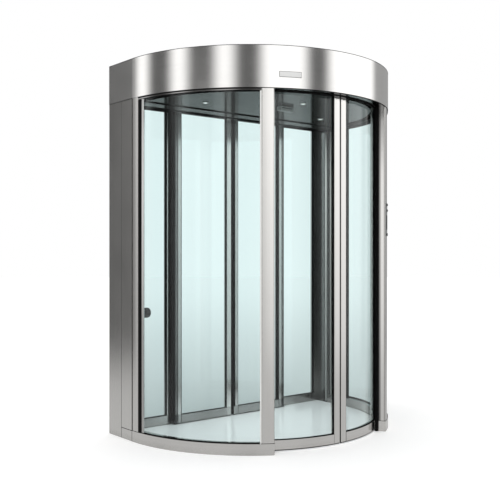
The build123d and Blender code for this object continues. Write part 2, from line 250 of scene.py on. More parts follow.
world = bpy.data.worlds.new("studio")
SCENE.world = world
world.use_nodes = True
world.cycles.sampling_method = "NONE"
studio = Board(world.node_tree)
ray = studio.node("ShaderNodeLightPath", out="Is Diffuse Ray")
mirrored = (1 - ray) * (ray.out("Glossy Depth") > MIRROR_DEPTH)
level = ROOM_LEVEL + mirrored * (studio_ring(studio) - ROOM_LEVEL)
studio.plug(world.node_tree.nodes["Background"].inputs["Color"], level)
print("soft boxes:", len(SOFT_BOXES))

# %% [markdown]
# ## The floor of the studio
# The portal stands on a white sheet that runs on into the white background, so only its soft shadow shows.
# A wide disc is enough. Seen through the panes, the sheet is greyer near the portal and clears with
# distance: that grey is painted shade, which only rays through a pane see. Steel sees the floor level of
# the ring instead of the sheet, so the sheet is hidden from reflections, and a ray that met a mirror before
# it came through a pane passes the sheet too. A little glow for the camera alone lifts the sheet to the
# background's white.

# %% Lay the floor
SHEET_RADIUS, SHEET_CORNERS = 30.0, 96
SHEET_WHITE, SHEET_PAINTED_SHADE, BLACK = (1, 1, 1, 1), (0.63, 0.63, 0.63, 1), (0, 0, 0, 1)
SHEET_GLOW, FAR_PAINTED_SHADE = 0.19, 0.07
bpy.ops.object.select_all(action="DESELECT")
bpy.ops.mesh.primitive_circle_add(vertices=SHEET_CORNERS, radius=SHEET_RADIUS, fill_type="NGON")
sheet = bpy.context.object
sheet.name = "studio_floor"
sheet.visible_glossy = False
paper = Finish("white_sheet", Roughness=1.0, Specular_IOR_Level=0.0, Emission_Strength=SHEET_GLOW)
sight = paper.node("ShaderNodeLightPath", out="Is Transmission Ray")
near = 1 - paper.length(paper.place()) * (1 / SHEET_RADIUS)
# painted shade: the sheet greys near the portal, for rays that come through a pane
grey = sight * (FAR_PAINTED_SHADE + (1 - FAR_PAINTED_SHADE) * near * near * near * near)
paper.feed("Base Color", paper.blend(grey, SHEET_WHITE, SHEET_PAINTED_SHADE))
paper.feed("Emission Color", paper.blend(sight.out("Is Camera Ray"), BLACK, SHEET_WHITE))
paper.feed("Alpha", 1 - (sight.out("Glossy Depth") > MIRROR_DEPTH))
sheet.data.materials.append(paper.material)
print("floor disc", SHEET_RADIUS, "m")

# %% [markdown]
# ## Brushed steel
# The portal's posts and doors are brushed upright and its header and plinth are brushed along. The hairs of
# the grain are far shorter across than along, so one noise, stretched strongly in one direction, gives them.
# The same noise moves the colour a little, opens the gloss and makes a shallow bump. A slow cloud adds the
# smears of hands and cloths, and the lowest few centimetres carry a little dust from the floor.

# %% Brush the steel
STEEL_LOW, STEEL_HIGH = (0.75, 0.74, 0.725, 1), (0.87, 0.858, 0.84, 1)
# STEEL_SHADE is the colour that painted shade darkens the steel towards
STEEL_DUST, STEEL_SHADE = (0.60, 0.59, 0.565, 1), (0.05, 0.05, 0.05, 1)
UPRIGHT_GRAIN, ALONG_GRAIN = (420.0, 420.0, 2.0), (2.0, 2.0, 420.0)
BROAD_SHARE = (0.12, 0.12, 0.12)            # how much coarser the broad bands of the grain are
DUST_EDGE, DUST_DRIFT = (0.06, 0.015), 0.03     # heights where the dust ends, and how far they wander
HAIR_BUMP, HAIR_DEPTH = 0.06, 0.0004


def brushed_steel(name, grain_of, low=STEEL_LOW, high=STEEL_HIGH, painted_shade_of=None):
    """Brushed steel: grain_of(finish, place) stretches the grain, and the last argument, a mask of painted
    shade, darkens its colour.
    """
    steel = Finish(name, Metallic=1.0)
    place = steel.place()
    grain = grain_of(steel, place)
    hair = steel.noise(grain, detail=4.0, rough=0.65)
    broad = steel.noise(steel.stretch(grain, BROAD_SHARE), detail=2.0)
    touch = steel.noise(place, scale=6.0, detail=4.0)
    dust = steel.ease(steel.split(place)[2] + DUST_DRIFT * touch, *DUST_EDGE) * 0.5
    colour = steel.blend(0.6 * hair + 0.4 * broad, low, high)
    colour = steel.blend(dust, colour, STEEL_DUST)
    # painted shade: a mask darkens the colour towards STEEL_SHADE
    if painted_shade_of:
        colour = steel.blend(painted_shade_of(steel, place), colour, STEEL_SHADE)
    steel.feed("Base Color", colour)
    steel.feed("Roughness", 0.10 + 0.05 * hair + 0.06 * touch + 0.2 * dust)
    steel.feed("Normal", steel.bump(hair, HAIR_BUMP, HAIR_DEPTH))
    return steel.material


def upright(steel, place):
    return steel.stretch(place, UPRIGHT_GRAIN)


def along(steel, place):
    return steel.stretch(place, ALONG_GRAIN)


print("steel is brushed upright or along")

# %% [markdown]
# ## Where shade is painted on the steel
# Some faces of the real portal stand in deep shade: the lower face of the header, the faces that look into
# the chamber, the foot rails of the rear doors and the end of the right post. An even white room can't make
# these, so the shade is painted into the steel's colour, with a mask from each face's place or from the way
# it faces; on the right post the mask paints a dark reflection too. Such a mask holds from every side.

# %% Shade by place
WALL_FRONT = (0.190, 0.165)         # y, where the walls reach in front of the rear doors
RAIL_EDGE = (0.080, 0.070)          # heights where the foot rails end
LIP_SHADE, CORNER_SHADE = (0.928, 0.916), (0.941, 0.944)    # radii on the right post
PLAN_ONLY = (1, 1, 0)


# painted shade under the header: faces that look down are darkened
def underside_painted_shade(steel, place):
    return steel.ease(steel.facing()[2], -0.4, -0.8)


def inward(steel, place):
    """1 on the faces that look into the chamber, towards the portal's axis."""
    x, y, _ = steel.split(place)
    face_x, face_y, _ = steel.facing()
    return steel.ease(x * face_x + y * face_y, -0.2, -0.5)


def wall_painted_shade(steel, place):
    """Painted shade: the side walls are darkened inside, most in front of the rear doors."""
    front = steel.ease(steel.split(place)[1], *WALL_FRONT)
    return (0.80 + 0.13 * front) * inward(steel, place)


def band_painted_shade(steel, place):
    """Painted shade: the plinth is darkened by half inside."""
    return 0.45 * inward(steel, place)


def rail_painted_shade(steel, place):
    """Painted shade on the foot rails of the rear doors, which stand in the shade of the floor."""
    return 0.35 * steel.ease(steel.split(place)[2], *RAIL_EDGE)


def post_end_painted_shade(steel, place):
    """Painted shade and painted dark reflection: the right post darkens towards its rubber lip and round its
    outer corner.
    """
    radius = steel.length(steel.stretch(place, PLAN_ONLY))
    return 0.7 * steel.ease(radius, *LIP_SHADE) + 0.3 * steel.ease(radius, *CORNER_SHADE)


print("shade for walls, plinth, rails, post and header")

# %% [markdown]
# ## Steel on the solids
# The header is the brightest sheet, and the posts and the plinth are a little duller. The frames behind and
# the head rails are darker still, and that darkness is painted shade, for they stand deep in the chamber and
# in the header's slot. Each is the same brushed steel with its own two tones, so a small function hands a
# finish to every solid that wears it.

# %% Dress the steel solids
POST_LOW, POST_HIGH = (0.67, 0.66, 0.64, 1), (0.79, 0.778, 0.755, 1)
# darker tones for the frames behind and the head rails: painted shade
FRAME_PAINTED_SHADE_LOW, FRAME_PAINTED_SHADE_HIGH = (0.44, 0.436, 0.43, 1), (0.56, 0.554, 0.544, 1)
DARK_PAINTED_SHADE_LOW, DARK_PAINTED_SHADE_HIGH = (0.22, 0.218, 0.214, 1), (0.30, 0.297, 0.292, 1)
POST_STEEL = brushed_steel("steel_brushed_upright", upright, POST_LOW, POST_HIGH)
# the right post, the side walls, the plinth, the header and the rear frames also get masks of painted shade
RIGHT_POST_STEEL = brushed_steel("steel_right_post_painted_shade", upright, POST_LOW, POST_HIGH, post_end_painted_shade)
WALL_STEEL = brushed_steel("steel_side_wall_painted_shade", upright, POST_LOW, POST_HIGH, wall_painted_shade)
BAND_STEEL = brushed_steel("steel_brushed_along_painted_shade", along, POST_LOW, POST_HIGH, band_painted_shade)
HEADER_STEEL = brushed_steel("steel_header_painted_shade", along, painted_shade_of=underside_painted_shade)
FRAME_PAINTED_SHADE_STEEL = brushed_steel("steel_rear_frame_painted_shade", upright, FRAME_PAINTED_SHADE_LOW, FRAME_PAINTED_SHADE_HIGH, rail_painted_shade)
DARK_PAINTED_SHADE_STEEL = brushed_steel("steel_dark_painted_shade", upright, DARK_PAINTED_SHADE_LOW, DARK_PAINTED_SHADE_HIGH)
SIDES = ("left", "right")


def dress(material, *nodes):
    """Give CAD nodes a finish."""
    for node in nodes:
        slots = bpy.data.objects[node].data.materials
        slots.clear()
        slots.append(material)


dress(HEADER_STEEL, *(f"{place}_header_fascia" for place in ("front", "rear", "left", "right")))
dress(BAND_STEEL, "side_base_blocks", "left_base_rail", "right_base_rail")
dress(DARK_PAINTED_SHADE_STEEL, "head_rails")
dress(POST_STEEL, "left_front_post")
dress(RIGHT_POST_STEEL, "right_front_post")
for side in SIDES:
    dress(WALL_STEEL, *(f"{side}_{part}" for part in ("rear_jamb", "side_panel", "rear_post")))
    dress(FRAME_PAINTED_SHADE_STEEL, f"{side}_rear_frame")
print("steel on header, posts, jambs and plinth")

# %% [markdown]
# ## Steel door frames
# A door leaf's stiles are brushed upright, but its two rails are brushed along, as the fitter cuts them from
# the same strip. Both grains are on one mesh, so a mask picks the rails: they lie between the stiles, above
# and below the pane. The pane's own box says where that is. The rear leaves are darker than the front ones,
# and darker again towards their outer stiles and foot rails: that is painted shade.

# %% Steel for the leaves
# the rear leaves' darker tones are painted shade
REAR_PAINTED_SHADE_LOW, REAR_PAINTED_SHADE_HIGH = (0.54, 0.534, 0.524, 1), (0.66, 0.65, 0.638, 1)
INNER_STILE, OUTER_STILE = ((-0.070, -0.050), (0.005, -0.005)), (0.462, 0.482)   # x, edges of the stiles
OUTER_FLANK = (-0.25, -0.35)        # x times the facing's x, on the flanks that look to the middle
LEAVES = [f"{place}_{side}_leaf" for place in ("front", "rear") for side in SIDES]


def leaf_grain(leaf):
    """The grain of a leaf's frame: upright on its stiles, along on its rails."""
    low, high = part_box(f"{leaf}_glass")
    inner, outer = sorted((abs(low[0]), abs(high[0])))

    def grain(steel, place):
        x, _, z = steel.split(place)
        across = (abs(x) > inner) * (outer > abs(x))
        rail = across * steel.larger(low[2] > z, z > high[2])
        return steel.node("ShaderNodeMix", {"data_type": "VECTOR"},
                          {0: rail, 4: upright(steel, place), 5: along(steel, place)}, out=1)
    return grain


def rear_painted_shade(steel, place):
    """Painted shade: the rear leaves darken towards their outer stiles; the left leaf's inner stile keeps its
    full tone.
    """
    x = steel.split(place)[0]
    flank = steel.ease(x * steel.facing()[0], *OUTER_FLANK)
    end = steel.ease(abs(x), *OUTER_STILE)
    bright = steel.ease(x, *INNER_STILE[0]) * steel.ease(x, *INNER_STILE[1])
    return 0.22 * (1 - bright) + 0.58 * end + 0.5 * flank + rail_painted_shade(steel, place)


for leaf in LEAVES:
    # rear leaves: darker tones and a mask of painted shade
    shade = rear_painted_shade if leaf.startswith("rear") else None
    low, high = (REAR_PAINTED_SHADE_LOW, REAR_PAINTED_SHADE_HIGH) if shade else (POST_LOW, POST_HIGH)
    dress(brushed_steel(f"steel_{leaf}", leaf_grain(leaf), low, high, shade), f"{leaf}_frame")
print("steel on", len(LEAVES), "leaves")

# %% [markdown]
# ## Glass and rubber
# The panes are thick clear laminate with a faint sea-green cast, which two panes in a row make plainer. The
# cut edges gather more of the colour, so faces that look up or down are greener. The flat panes are float
# glass, which shows faint upright streaks; in the bent ones they have melted into a slow cloud. The gaskets
# that hold the panes are black rubber: nearly no colour, dull, with a fine moulded grain.

# %% Panes and gaskets
GLASS_DIM, GLASS_FACE = (0.872, 0.962, 0.962, 1), (0.898, 0.984, 0.982, 1)
GLASS_EDGE = (0.35, 0.72, 0.66, 1)
GLASS_HAZE = 0.006                  # roughness where hands have been
FLOAT_STREAKS, BENT_STREAKS = (9.0, 9.0, 0.0), (0.8, 0.8, 0.3)
RUBBER_LOW, RUBBER_HIGH = (0.003, 0.003, 0.003, 1), (0.008, 0.0075, 0.0075, 1)
GRAIN_DEPTH = 0.0003


def clear_glass(name, streaks):
    glass = Finish(name, Transmission_Weight=1.0, IOR=1.33)
    level = abs(glass.facing()[2])
    film = glass.noise(glass.place(), scale=3.0)
    streak = glass.ease(glass.noise(glass.stretch(glass.place(), streaks), detail=1.0), 0.35, 0.65)
    face = glass.blend(streak, GLASS_DIM, GLASS_FACE)
    glass.feed("Base Color", glass.blend(glass.ease(level, 0.5, 0.8), face, GLASS_EDGE))
    glass.feed("Roughness", GLASS_HAZE * glass.ease(film, 0.5, 0.7))
    return glass.material


def black_rubber():
    rubber = Finish("rubber_black", Specular_IOR_Level=0.06)
    place = rubber.place()
    grain = rubber.noise(place, scale=900.0, detail=2.0)
    bloom = rubber.noise(place, scale=12.0)
    rubber.feed("Base Color", rubber.blend(bloom, RUBBER_LOW, RUBBER_HIGH))
    rubber.feed("Roughness", 0.5 + 0.2 * grain)
    rubber.feed("Normal", rubber.bump(grain, 0.2, GRAIN_DEPTH))
    return rubber.material


FLAT_GLASS, BENT_GLASS = clear_glass("glass_flat", FLOAT_STREAKS), clear_glass("glass_bent", BENT_STREAKS)
RUBBER = black_rubber()
for side in SIDES:
    dress(BENT_GLASS, f"{side}_curved_glass")
    dress(FLAT_GLASS, f"{side}_rear_glass")
dress(RUBBER, "curved_glass_gaskets", "post_seals", "rear_glass_gaskets")
for leaf in LEAVES:
    dress(BENT_GLASS if leaf.startswith("front") else FLAT_GLASS, f"{leaf}_glass")
    dress(RUBBER, f"{leaf}_gasket")
print("glass and rubber on panes and gaskets")

# %% [markdown]
# ## Paint, floor and fittings
# The ceiling and the drive cover are dark satin sheet that mirrors the stiles at a low angle. The floor is
# pale and smooth, and has a soft shine. The tracks are bare aluminium and the small fittings are dark
# plastic or dark satin paint. Each has a slow change of tone and a fine grain of its own size.

# %% Paint, floor and fittings
def plain_finish(name, low, high, rough, grain, bump, **constants):
    """A painted, moulded or mill finish: a slow change of tone, a fine grain and uneven gloss."""
    coat = Finish(name, **constants)
    place = coat.place()
    cloud = coat.noise(place, scale=4.0, detail=4.0)
    speck = coat.noise(place, scale=grain, detail=2.0)
    coat.feed("Base Color", coat.blend(0.7 * cloud + 0.3 * speck, low, high))
    coat.feed("Roughness", rough + 0.08 * cloud + 0.06 * speck)
    coat.feed("Normal", coat.bump(speck, bump, GRAIN_DEPTH))
    return coat.material


CEILING_PAINT = plain_finish("paint_ceiling", (0.022, 0.025, 0.022, 1), (0.03, 0.033, 0.03, 1), rough=0.04,
                             grain=500.0, bump=0.02, Specular_IOR_Level=0.092, Specular_Tint=(1, 1, 0.92, 1))
ROOF_PAINT = plain_finish("paint_roof", (0.34, 0.35, 0.34, 1), (0.44, 0.45, 0.44, 1),
                          rough=0.4, grain=300.0, bump=0.1)
FLOOR_SHEET = plain_finish("floor_sheet", (0.89, 0.90, 0.905, 1), (0.93, 0.935, 0.94, 1),
                           rough=0.1, grain=700.0, bump=0.03)
MILL_ALUMINIUM = plain_finish("aluminium_mill", (0.62, 0.62, 0.63, 1), (0.76, 0.76, 0.77, 1),
                              rough=0.3, grain=250.0, bump=0.1, Metallic=1.0)
DARK_PLASTIC = plain_finish("plastic_dark", (0.022, 0.022, 0.024, 1), (0.034, 0.034, 0.036, 1),
                            rough=0.35, grain=800.0, bump=0.15)
PANEL_PAINT = plain_finish("paint_panel", (0.16, 0.165, 0.165, 1), (0.22, 0.225, 0.225, 1),
                           rough=0.3, grain=600.0, bump=0.1)
SENSOR_PAINT = plain_finish("paint_sensor", (0.30, 0.31, 0.30, 1), (0.36, 0.37, 0.36, 1),
                            rough=0.3, grain=600.0, bump=0.08)
LAMP_ENAMEL = plain_finish("enamel_lamp", (0.80, 0.80, 0.78, 1), (0.86, 0.86, 0.84, 1),
                           rough=0.2, grain=400.0, bump=0.02)
dress(CEILING_PAINT, "ceiling_panel", "rear_drive_cover")
dress(ROOF_PAINT, "roof_plate")
dress(FLOOR_SHEET, "floor_plate")
dress(MILL_ALUMINIUM, "front_track", "rear_track")
dress(DARK_PLASTIC, "push_button")
dress(SENSOR_PAINT, "ceiling_sensor")
dress(PANEL_PAINT, "entry_panel")
dress(LAMP_ENAMEL, "ceiling_lights")
print("paint, floor and fittings are dressed")

# %% [markdown]
# ## Shaping by hand
# The small pieces that the solids leave out are modelled as at the screen: a primitive is added at its size
# and place, faces are picked by where they are, and inset, bevel, bisect and spin shape them. An operator
# works on all that is selected, so begin() clears the selection first. close() merges the seams, turns the
# faces outwards, and seats the finished piece on the body that carries it.

# %% Tools for shaping
SEAM, SMOOTH_BELOW = 1e-6, radians(35)


def begin(add, stretch=(1, 1, 1), **at):
    """Add a primitive alone, stretch it to its size, and open it for editing."""
    bpy.ops.object.select_all(action="DESELECT")
    add(**at)
    piece = bpy.context.object
    piece.scale = stretch
    bpy.ops.object.transform_apply(location=True, rotation=True, scale=True)
    bpy.ops.object.mode_set(mode="EDIT")
    bpy.ops.mesh.select_all(action="SELECT")
    return piece


def pick_faces(test):
    """Select only the faces that pass a test."""
    bpy.ops.mesh.select_mode(type="FACE")
    bpy.ops.mesh.select_all(action="DESELECT")
    shape = bmesh.from_edit_mesh(bpy.context.object.data)
    for face in [face for face in shape.faces if test(face)]:
        face.select_set(True)
    bmesh.update_edit_mesh(bpy.context.object.data)


def joined(pieces):
    """Make several pieces one mesh and open it for editing."""
    bpy.ops.object.select_all(action="DESELECT")
    for piece in pieces:
        piece.select_set(True)
    bpy.context.view_layer.objects.active = pieces[0]
    if len(pieces) > 1:
        bpy.ops.object.join()
    bpy.ops.object.mode_set(mode="EDIT")
    return pieces[0]


def bars(boxes, edge):
    """One mesh of straight bars between pairs of corners, with eased edges."""
    made = []
    for low, high in boxes:
        middle = [(a + b) / 2 for a, b in zip(low, high)]
        made.append(begin(bpy.ops.mesh.primitive_cube_add, [b - a for a, b in zip(low, high)],
                          size=1, location=middle))
        bpy.ops.mesh.bevel(offset=edge, segments=2, affect="EDGES")
        bpy.ops.object.mode_set(mode="OBJECT")
    return joined(made)


def hoops(sections, edge, step=2.0):
    """One mesh of strips swept about the portal's axis: inner, outer, low, high, start and end angles."""
    made = []
    for inner, outer, low, high, first, last in sections:
        turn, middle = radians(first - 90), (inner + outer) / 2
        made.append(begin(bpy.ops.mesh.primitive_plane_add, (outer - inner, high - low, 1), size=1,
                          location=(middle * cos(turn), middle * sin(turn), (low + high) / 2),
                          rotation=(radians(90), 0, turn)))
        bpy.ops.mesh.bevel(offset=edge, segments=2, affect="VERTICES")
        bpy.ops.mesh.select_all(action="SELECT")
        bpy.ops.mesh.spin(steps=max(2, round((last - first) / step)), angle=radians(first - last),
                          center=(0, 0, 0), axis=(0, 0, 1))
        bpy.ops.object.mode_set(mode="OBJECT")
    return joined(made)


def close(piece, name, finish, body="portal"):
    """Merge the seams, turn the faces outwards, and seat the piece on its body."""
    bpy.ops.mesh.select_all(action="SELECT")
    bpy.ops.mesh.remove_doubles(threshold=SEAM)
    bpy.ops.mesh.normals_make_consistent(inside=False)
    bpy.ops.object.mode_set(mode="OBJECT")
    piece.name = piece.data.name = name
    bpy.ops.object.shade_smooth_by_angle(angle=SMOOTH_BELOW)
    piece.data.materials.append(finish)
    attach(piece, body)
    print(name, len(piece.data.polygons), "faces")


def seal(piece, name, body="portal"):
    """Close a piece that is black rubber."""
    close(piece, name, RUBBER, body)


# %% [markdown]
# ## Saying where
# Nearly every piece comes twice, left and right, and is told by how far it is from the middle plane or by a
# plan angle, which is 0 at the front. A few small helpers turn such words into numbers, so that the steps
# below can say only what is special about a piece.

# %% Tools for placing
SAME_WAY = 0.95         # cosine above which a face looks along a direction


def on_plan(radius, angle):
    """The x and y of a place from its radius and its plan angle."""
    return radius * sin(radians(angle)), -radius * cos(radians(angle))


def on_side(sign, *places):
    """Distances or angles on the left, -1, or the right, 1, with the lowest first."""
    return sorted(sign * place for place in places)


def about(place, half):
    """From half a width before a place to half a width after it."""
    return place - half, place + half


def bar(x, y, z):
    """The two corners of a bar from where it starts and ends in x, y and z."""
    return tuple(zip(x, y, z))


def far_edge(node):
    """How far a node reaches from the middle plane, on its own side."""
    low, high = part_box(node)
    return max(-low[0], high[0])


def beyond(foot, direction, reach):
    """A test for faces that lie further from a foot than a reach, along a direction."""
    def test(face):
        return (face.calc_center_median() - foot).dot(direction) > reach
    return test


def looking(direction):
    """A test for faces that look along a direction."""
    def test(face):
        return face.normal.dot(direction) > SAME_WAY
    return test


def lying_along(direction):
    """The turn that lays a cylinder or a ring's axis along a level direction."""
    return 0, radians(90), atan2(direction.y, direction.x)


SIGNED_SIDES = tuple(zip(SIDES, (-1, 1)))
SKIN, BACK, TOP = CAD_BOX[1]                # half the width over the steel skin, the back and the top
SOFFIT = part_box("front_header_fascia")[0][2]
PANEL_BACK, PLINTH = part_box("left_side_panel")[1][1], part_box("left_side_panel")[0][2]
print("soffit", SOFFIT, "plinth", PLINTH)

# %% [markdown]
# ## Joint seals
# Where steel sheets meet, the fitter leaves a few millimetres and fills them with black sealant: along the
# top of the header, and between the panels of the side walls. They are what makes the panels read as
# separate, so each is a thin strip that stands a hair proud. The strip where each side wall meets the header
# is a painted shadow, for the shadow gap there. Under the header's edge hangs a rubber lip, lower over the
# fixed panes than over the doors; its black is a painted shadow line under the edge. The straight ones are
# bars, the round ones are swept.

# %% Seal the joints
SEAL_PROUD, SEAL_DEEP, SEAL_HALF = 0.0006, 0.002, 0.0017
TOP_SEAL, OFF_FLOOR = (TOP - 0.0032, TOP), 0.001
LIP_SEALS = ((-86, -35.5, 0.0086), (-35.5, 35.5, 0.0042), (35.5, 87.9, 0.0086))   # from, to, how low it hangs
LIP_SEAL_RADII, LIP_SEAL_ROOT = (SKIN - 0.006, SKIN - 0.0004), 0.0005

round_seal = hoops([(SKIN - SEAL_DEEP, SKIN + SEAL_PROUD, *TOP_SEAL, -90, 90)], edge=0.0003)
bpy.ops.object.mode_set(mode="OBJECT")
straight = [bar(on_side(sign, SKIN - SEAL_DEEP, SKIN + SEAL_PROUD), (0, BACK), TOP_SEAL) for sign in (-1, 1)]
straight.append(bar((-SKIN, SKIN), (BACK - SEAL_DEEP, BACK + SEAL_PROUD), TOP_SEAL))
straight_seals = bars(straight, edge=0.0003)
bpy.ops.object.mode_set(mode="OBJECT")
seal(joined([round_seal, straight_seals]), "header_top_seal")
# painted shadow: the black lip stands for the shadow line under the header's edge
seal(hoops([(*LIP_SEAL_RADII, SOFFIT - hang, SOFFIT + LIP_SEAL_ROOT, first, last)
            for first, last, hang in LIP_SEALS], edge=0.0005), "header_lip_painted_shadow")
for side, sign in SIGNED_SIDES:
    face = on_side(sign, SKIN - SEAL_DEEP, SKIN + SEAL_PROUD / 3)
    # the strip at the soffit is a painted shadow, for the gap under the header
    seal(bars([bar(face, (0, BACK), about(SOFFIT, SEAL_HALF)),
               bar(face, about(PANEL_BACK, SEAL_HALF), (OFF_FLOOR, SOFFIT)),
               bar(face, about(0, SEAL_HALF), (PLINTH, SOFFIT)),
               bar(face, about(0, SEAL_HALF), (OFF_FLOOR, PLINTH)),
               bar(face, (0, PANEL_BACK), about(PLINTH, SEAL_HALF))], edge=0.0004), f"{side}_wall_seals")

# %% [markdown]
# ## Rubber at the posts
# Each front post carries a rubber lip that narrows the gap to the sliding door; its black is partly the
# rubber and partly a painted shadow of the gap. The rear edge of each curved pane sits in a broad black
# bead, outside and inside, with a low bead along its foot. A slim pale strip covers the joint of post and
# pane in front; its pale enamel is a painted highlight along the post's edge. A steel strip runs beside the
# left bead, in the darker frame steel, which is painted shade. A fine black line marks where every post
# stands on the plinth. All of them follow the curve, so they are swept.

# %% Lips, beads and seats
POST_RADIUS, PANE_OUT, PANE_IN = 0.953, 0.945, 0.935
LEAF_IN, LEAF_OUT = 0.845, 0.883
PANE_HEIGHTS = (PLINTH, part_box("left_curved_glass")[1][2])
PANE_ENDS = {"left": 85.79, "right": 87.715}                    # plan angles of the panes' rear edges
LIP_ANGLE, LIP_REACH, LIP_ROOT = 30.5, {"left": 0.5, "right": 1.05}, 0.05
LIP_IN, LIP_OUT, LIP_FOOT = LEAF_OUT + 0.0035, 0.9065, 0.002
BEAD_REACH, BEAD_ROOT = {"left": 1.52, "right": 0.9}, 0.15
BEAD_RADII = ((PANE_OUT, POST_RADIUS + 0.0004), (PANE_IN - 0.007, PANE_IN))      # outside, inside
FOOT_RADII, FOOT_HEIGHTS = (PANE_OUT, PANE_OUT + 0.004), (PLINTH, PLINTH + 0.008)
COVER_RADII, COVER_ANGLES = (PANE_OUT, POST_RADIUS - 0.001), (35.2, 35.65)
SEAT_RADII, SEAT_HEIGHTS = (POST_RADIUS - 0.003, POST_RADIUS + 0.0006), (PLINTH, PLINTH + 0.0026)
FRONT_POST, REAR_POST = (LIP_ANGLE, 35.3), {"left": (85.7, 90), "right": (87.6, 90)}
SEAT_END = (LIP_ANGLE - 0.04, LIP_ANGLE + 0.03)                 # across the end of a front post
STRIP_RADII = ((PANE_OUT, POST_RADIUS - 0.003), (PANE_IN - 0.006, PANE_IN))
STRIP_REACHES = ((1.48, 3.1), (0.5, 1.9))                       # degrees before the left pane's end
for side, sign in SIGNED_SIDES:
    end = PANE_ENDS[side]
    # the lip is partly rubber and partly a painted shadow of the gap between post and door
    lip = on_side(sign, LIP_ANGLE - LIP_REACH[side], LIP_ANGLE + LIP_ROOT)
    seal(hoops([(LIP_IN, LIP_OUT, LIP_FOOT, SOFFIT, *lip)], edge=0.002), f"{side}_post_lip")
    bead = on_side(sign, end - BEAD_REACH[side], end + BEAD_ROOT)
    seal(hoops([(*radii, *PANE_HEIGHTS, *bead) for radii in BEAD_RADII], edge=0.0015), f"{side}_pane_bead")
    # the pale enamel on the cover is a painted highlight along the post's edge
    cover = on_side(sign, *COVER_ANGLES)
    close(hoops([(*COVER_RADII, *PANE_HEIGHTS, *cover)], edge=0.0012, step=0.5),
          f"{side}_pane_cover_painted_highlight", LAMP_ENAMEL)
    foot = on_side(sign, COVER_ANGLES[1], end)
    seal(hoops([(*FOOT_RADII, *FOOT_HEIGHTS, *foot)], edge=0.001), f"{side}_foot_bead")
    seats = [(*SEAT_RADII, *SEAT_HEIGHTS, *on_side(sign, *post)) for post in (FRONT_POST, REAR_POST[side])]
    seats.append((LIP_OUT, POST_RADIUS, *SEAT_HEIGHTS, *on_side(sign, *SEAT_END)))
    seal(hoops(seats, edge=0.0004), f"{side}_post_seats")

strips = [(*radii, *PANE_HEIGHTS, *(reach - PANE_ENDS["left"] for reach in reaches))
          for radii, reaches in zip(STRIP_RADII, STRIP_REACHES)]
# the darker frame steel on this strip is painted shade
close(hoops(strips, edge=0.0012, step=0.5), "left_pane_strip", FRAME_PAINTED_SHADE_STEEL)

# %% [markdown]
# ## Ceiling trim and brushes
# A black strip covers the joint between the ceiling and the drive cover; its black is partly the dark joint
# and partly a painted shadow of the step there. Brushes line the slots that the doors hang through. The
# brushes stop short of the doors by more than a millimetre, so nothing rubs as they slide.

# %% Trim the ceiling
CEILING_RADIUS, SLOT_RADIUS, LET_IN = 0.837, 0.891, 0.001
COVER_JOINT, COVER_JOINT_HALF, COVER_JOINT_LOW = 0.037, 0.0036, 0.006
BRUSH_GAP, BRUSH_ANGLES, BRUSH_HEIGHTS = 0.0015, (-88, 88), (SOFFIT - 0.004, SOFFIT + 0.003)
# partly painted shadow: the black strip stands for the shadow at the step of the drive cover
seal(bars([bar((-CEILING_RADIUS, CEILING_RADIUS), about(COVER_JOINT, COVER_JOINT_HALF),
               (SOFFIT - COVER_JOINT_LOW, SOFFIT + LET_IN))], edge=0.0012), "ceiling_joint_trim_painted_shadow")
edges = ((CEILING_RADIUS - LET_IN, LEAF_IN - BRUSH_GAP), (LEAF_OUT + BRUSH_GAP, SLOT_RADIUS + LET_IN))
seal(hoops([(*radii, *BRUSH_HEIGHTS, *BRUSH_ANGLES) for radii in edges], edge=0.001), "front_slot_brushes")
leaf_front, leaf_back = (corner[1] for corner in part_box("rear_left_leaf_frame"))
cover_back, frame_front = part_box("rear_drive_cover")[1][1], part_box("left_rear_frame")[0][1]
wall = far_edge("left_rear_frame")
edges = ((cover_back - LET_IN, leaf_front - BRUSH_GAP), (leaf_back + BRUSH_GAP, frame_front + LET_IN))
seal(bars([bar((-wall, wall), depth, BRUSH_HEIGHTS) for depth in edges], edge=0.0008), "rear_slot_brushes")

# %% [markdown]
# ## Rubber strips of the doors
# Under each door leaf a black sweep narrows the gap to the floor. The outer edges of the rear doors wear a
# rounded rubber strip, and a flat seal runs down the outer edge of each rear pane. They move with their
# door, so each rides on its own body.

